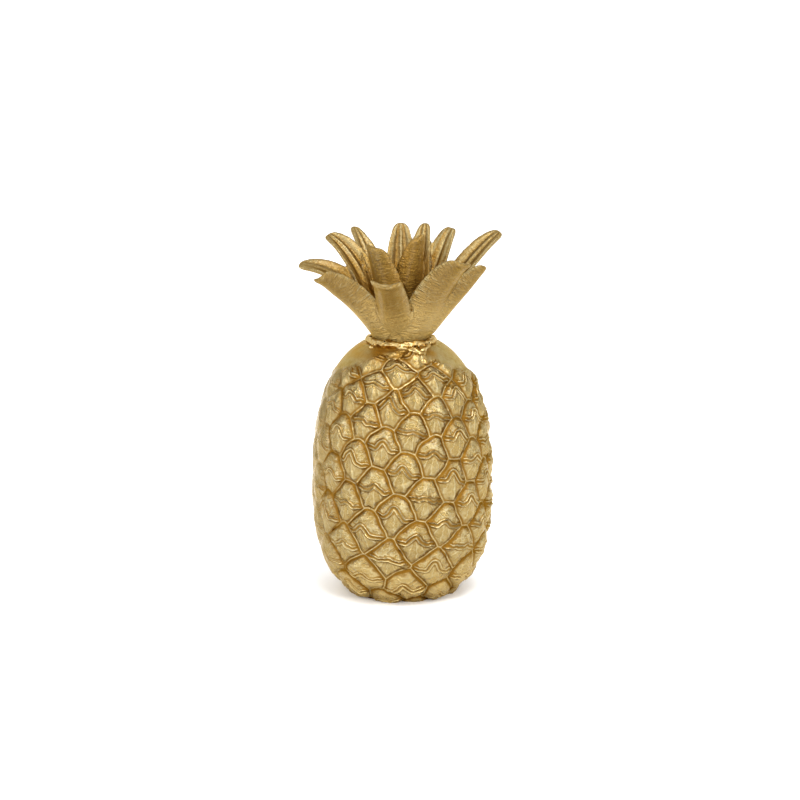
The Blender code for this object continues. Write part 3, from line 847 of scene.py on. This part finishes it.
# The run is in millimetres up a leaf from its foot, and the side goes from -1 to 1 across it
run = sums.attribute("run")
side = sums.attribute("side")
outer = sums.attribute("outer").between(-0.2, 0.3)
mottle = sums.grain(200, 3)
patches = sums.grain(60, 2)
fine = sums.grain(1400, 2)
spread = sums.node("ShaderNodeCombineXYZ", None, {"X": run, "Y": side * 2.2, "Z": outer * 4.0})
wrinkle = sums.node("ShaderNodeTexNoise", None, {
    "Vector": spread, "Scale": 1.30, "Detail": 3.0, "Roughness": 0.6, "Distortion": 0.8})
speckle = sums.grain(760, 2, 0.6).between(0.52, 0.72)
ribbed = abs(side)
ribbing = (1 - outer) * sums.attribute("ribbing")
groove = ribbed.bell(RIB_GROOVE_PLACE, 0.12) * ribbing
crest = (side.bell(0.0, 0.12) + ribbed.bell(0.58, 0.12)) * ribbing
# Painted shade: the inner faces darker, more so down towards the foot, and the hollow inside the crown
# darker and warmer.
deep = run.between(26, 4) * (1 - outer)
place = sums.node("ShaderNodeTexCoord", output="Object")
level = sums.node("ShaderNodeVectorMath", {"operation": "MULTIPLY"}, {0: place, 1: (1, 1, 0)})
reach = sums.node("ShaderNodeVectorMath", {"operation": "LENGTH"}, {0: level}, output="Value")
height = sums.node("ShaderNodeSeparateXYZ", None, {"Vector": place}, output="Z")
hollow_shade = reach.between(*HOLLOW_REACH) * height.between(*HOLLOW_RISE)
cross = (wrinkle - 0.5) * (outer * 0.65 + 0.35)
# Dark share: painted shade on the inner faces and in the hollow, with brown in the rib grooves and
# speckles.
dark = (
    deep * 0.9 + groove * 0.35 + (mottle - 0.5) * 0.7 + (patches - 0.5) * 0.6
    + (1 - outer) * (run.between(46, 22) * 0.30 + 0.30) + hollow_shade * 0.26
    - cross * 1.5 + speckle * (hollow_shade * 0.40 + 0.34))
# Painted light: the outer faces lighter near the foot, and painted highlights on the midrib crests and
# the inner faces towards their tips, with the leaf edges lighter.
foot = run.between(30, 8) * outer
bright = (
    crest * 0.35 + (mottle - 0.5) * 0.6 + cross * 2.2 - hollow_shade * 0.3 + 0.05
    + (1 - outer) * run.between(30, 50) * 0.25 + ribbed.between(0.80, 1.0) * 0.4)
colour = sums.blend(foot, LEAF_GOLD, FOOT_LIGHT_GOLD)
colour = sums.blend(hollow_shade * 0.8, colour, WARM_GOLD)
colour = sums.blend(bright.between(0.0, 1.0), colour, BRIGHT_GOLD)
# How far the gold turns brown: painted shade, with patina in the grooves.
patina_and_shade = dark.between(0.15, 1.1)
colour = sums.blend(patina_and_shade, colour, BROWN_GOLD)
# Painted shade: the pinholes nearly black.
pits = sums.node(
    "ShaderNodeTexVoronoi", None, {"Vector": place, "Scale": PIT_SCALE}, output="Distance")
pit = pits.between(0.085, 0.045) * sums.grain(110, 1).between(0.56, 0.60)
colour = sums.blend(pit, colour, PIT_SHADE)
relief = (
    cross * 1.10 + (mottle - 0.5) * 0.20 + (fine - 0.5) * 0.07 + crest * 0.08
    - groove * 0.08 - speckle * 0.05 - pit * 0.3)
gold_finish(sums, shader, colour, relief, 0.22)
rough = 0.40 + outer * 0.05 + (mottle - 0.5) * 0.16
polish = 0.22 - patina_and_shade * 0.20
sums.tree.links.new(rough.socket, shader.inputs["Roughness"])
sums.tree.links.new(polish.socket, shader.inputs["Coat Weight"])
crown_skin.data.materials.append(paint)
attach(crown_skin, "root")
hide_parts("leaf_crown")

# A bead of filler metal was run round the crown's foot to fix it to the neck. It set lumpy and
# shiny, with pinholes, and at the front right two dribbles met and ran down over the fruit.
BEAD_RADIUS = 16.6 * MM
BEAD_THICKNESS = 1.9 * MM
BEAD_HEIGHT = NECK_HEIGHT + 1.5 * MM
BEAD_VOXEL = 0.33 * MM
BEAD_SMOOTHING = 4
BEAD_GOLD = (0.52, 0.42, 0.20, 1.0)
BEAD_PIT_SHADE = (0.012, 0.007, 0.004, 1.0)
BEAD_PIT_SCALE = 300.0
# Two sizes of lump, each with its lift in millimetres and its rate
LUMPS = ((0.75, 0.7), (0.55, 1.6))
LUMP_SCALE = 420
LUMP_TURN_SCALE = 4.5
DRIBBLE_MARKS = 12
# Each point of a dribble: degrees round from the front, then millimetres out and thick
DRIBBLES = (
    ((-4, -1.0, 1.5), (8, 0.4, 1.6), (17, 2.6, 1.6), (24, 5.4, 1.8)),
    ((50, -1.0, 1.5), (40, 1.4, 1.5), (31, 4.0, 1.6), (26, 6.4, 1.8), (26, 9.4, 1.4)),
    ((16, 0.0, 1.5), (20, 2.0, 1.3), (23, 4.2, 1.2)),
    ((33, 0.0, 1.5), (30, 2.0, 1.3), (28, 4.2, 1.2)),
    ((-50, 0.0, 1.2), (-48, 2.0, 1.0)),
    ((150, 0.0, 1.3), (152, 2.4, 1.1)),
)
bpy.ops.object.select_all(action="DESELECT")
bpy.ops.mesh.primitive_torus_add(
    major_radius=BEAD_RADIUS, minor_radius=BEAD_THICKNESS, major_segments=240, minor_segments=24,
    location=(0, 0, BEAD_HEIGHT))
joint_bead = bpy.context.object
joint_bead.name = "joint_bead"
bpy.ops.object.mode_set(mode="EDIT")
upper = heights > WIDEST_HEIGHT
for dribble in DRIBBLES:
    marks = np.linspace(0, len(dribble) - 1, DRIBBLE_MARKS * len(dribble))
    turn, drop, thick = (np.interp(marks, range(len(dribble)), part) for part in zip(*dribble))
    for at_turn, at_drop, at_thick in zip(np.radians(turn), drop * MM, thick * MM):
        reach = BEAD_RADIUS + BEAD_THICKNESS + at_drop
        low = np.interp(-reach, -radii[upper], heights[upper])
        bpy.ops.mesh.primitive_ico_sphere_add(
            subdivisions=2, radius=at_thick,
            location=(reach * math.sin(at_turn), -reach * math.cos(at_turn), min(low, NECK_HEIGHT)))
bpy.ops.object.mode_set(mode="OBJECT")
bpy.ops.object.transform_apply(location=True)
fused = joint_bead.modifiers.new("fused", "REMESH")
fused.mode = "VOXEL"
fused.voxel_size = BEAD_VOXEL
fused.use_smooth_shade = True
bpy.ops.object.modifier_apply(modifier="fused")
normals = [tuple(normal.vector) for normal in joint_bead.data.vertex_normals]
for vert, normal in zip(joint_bead.data.vertices, normals):
    turn = math.atan2(vert.co.x, -vert.co.y)
    across = Vector((math.hypot(vert.co.x, vert.co.y), vert.co.z)) * LUMP_SCALE
    place = Vector((turn * LUMP_TURN_SCALE, *across))
    lump = sum(lift * noise.noise(place * rate) for lift, rate in LUMPS)
    vert.co += Vector(normal) * lump * MM
eased = joint_bead.modifiers.new("eased", "SMOOTH")
eased.factor = SMOOTHING_FACTOR
eased.iterations = BEAD_SMOOTHING
bpy.ops.object.modifier_apply(modifier="eased")
bpy.ops.object.shade_smooth()
paint, sums, shader = paint_of("bead_gold")
mottle = sums.grain(420, 3, 0.6, distortion=1.2)
fine = sums.grain(1300, 2)
place = sums.node("ShaderNodeTexCoord", output="Object")
pits = sums.node(
    "ShaderNodeTexVoronoi", None, {"Vector": place, "Scale": BEAD_PIT_SCALE}, output="Distance")
pit = pits.between(0.22, 0.10) * sums.grain(150, 1).between(0.54, 0.60)
colour = sums.blend((mottle - 0.5) * 3.0 + 0.50, WARM_GOLD, BEAD_GOLD)
colour = sums.blend(mottle.between(0.47, 0.34) * 0.3, colour, BROWN_GOLD)
# Painted shade: the bead's pinholes nearly black.
colour = sums.blend(pit, colour, BEAD_PIT_SHADE)
relief = (mottle - 0.5) * 0.26 + (fine - 0.5) * 0.08 - pit * 0.4
gold_finish(sums, shader, colour, relief, 0.12)
shader.inputs["Roughness"].default_value = 0.29
shader.inputs["Coat Weight"].default_value = 0.25
joint_bead.data.materials.append(paint)
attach(joint_bead, "root")

# The studio: a wide white floor that glows faintly all round the ornament, a soft light at each
# side of the front, one above it, and a pale sky that darkens upwards.
FLOOR_RADIUS = 30.0
FLOOR_WHITE = (0.97, 0.97, 0.97, 1.0)
FLOOR_GLOW = 0.30
GLOW_REACH = (0.015, 0.13)
BLACK = (0.0, 0.0, 0.0, 1.0)
WHITE = (1.0, 1.0, 1.0, 1.0)
SIDE_LIGHT_SIZE = 0.6
SIDE_LIGHT_POWER = 9
TOP_LIGHT_SIZE = 0.7
TOP_LIGHT_POWER = 15
SKY_STRENGTH = 1.45
SKY_STOPS = [(0.0, (1.0, 1.0, 1.0)), (0.35, (0.90, 0.90, 0.90)), (0.85, (0.78, 0.78, 0.78))]
bpy.ops.object.select_all(action="DESELECT")
bpy.ops.mesh.primitive_circle_add(
    vertices=96, radius=FLOOR_RADIUS, fill_type="TRIFAN", location=(0, 0, 0))
floor = bpy.context.object
floor.name = "floor"
paint, sums, shader = paint_of("floor_white")
place = sums.node("ShaderNodeTexCoord", output="Object")
reach = sums.node("ShaderNodeVectorMath", {"operation": "LENGTH"}, {0: place}, output="Value")
glow = sums.blend(reach.between(*GLOW_REACH), BLACK, WHITE)
sums.tree.links.new(glow.socket, shader.inputs["Emission Color"])
shader.inputs["Base Color"].default_value = FLOOR_WHITE
shader.inputs["Emission Strength"].default_value = FLOOR_GLOW
shader.inputs["Roughness"].default_value = 0.8
shader.inputs["Specular IOR Level"].default_value = 0.2
floor.data.materials.append(paint)


def soft_light(name, place, aim, size, power):
    """A square soft light at a place, turned to a point on the axis at a height."""
    bpy.ops.object.light_add(type="AREA", location=place)
    lamp = bpy.context.object
    lamp.name = name
    lamp.data.shape = "RECTANGLE"
    lamp.data.size = size
    lamp.data.size_y = size
    lamp.data.energy = power
    lamp.rotation_euler = (Vector((0, 0, aim)) - Vector(place)).to_track_quat("-Z", "Y").to_euler()


soft_light("light_left", (-1.1, -1.2, 0.7), 0.08, SIDE_LIGHT_SIZE, SIDE_LIGHT_POWER)
soft_light("light_right", (1.0, -1.3, 0.8), 0.08, SIDE_LIGHT_SIZE, SIDE_LIGHT_POWER)
soft_light("light_top", (0.2, -0.7, 1.5), 0.05, TOP_LIGHT_SIZE, TOP_LIGHT_POWER)
world = bpy.data.worlds.new("studio")
bpy.context.scene.world = world
world.use_nodes = True
sky = Shade(world.node_tree)
background = world.node_tree.nodes["Background"]
direction = sky.node("ShaderNodeTexCoord", output="Generated")
up = sky.node("ShaderNodeSeparateXYZ", None, {"Vector": direction}, output="Z")
shade = sky.node("ShaderNodeValToRGB", {"stops": SKY_STOPS}, {"Fac": up})
world.node_tree.links.new(shade.socket, background.inputs["Color"])
background.inputs["Strength"].default_value = SKY_STRENGTH
bpy.context.scene.view_settings.view_transform = "Standard"

# The camera stands a little above the ornament, straight in front, and fills the frame with
# as much white round it as the photograph has.
CAMERA_AIM = Vector((-0.0005, 0, 0.101))
CAMERA_DISTANCE = 1.15
CAMERA_TILT = math.radians(12)
CAMERA_LENS = 99.5
bpy.ops.object.camera_add()
camera = bpy.context.object
camera.data.lens = CAMERA_LENS
camera.data.clip_start = 0.01
camera.data.clip_end = 50
back = Vector((0, -math.cos(CAMERA_TILT), math.sin(CAMERA_TILT)))
camera.location = CAMERA_AIM + CAMERA_DISTANCE * back
camera.rotation_euler = (-back).to_track_quat("-Z", "Y").to_euler()
bpy.context.scene.camera = camera
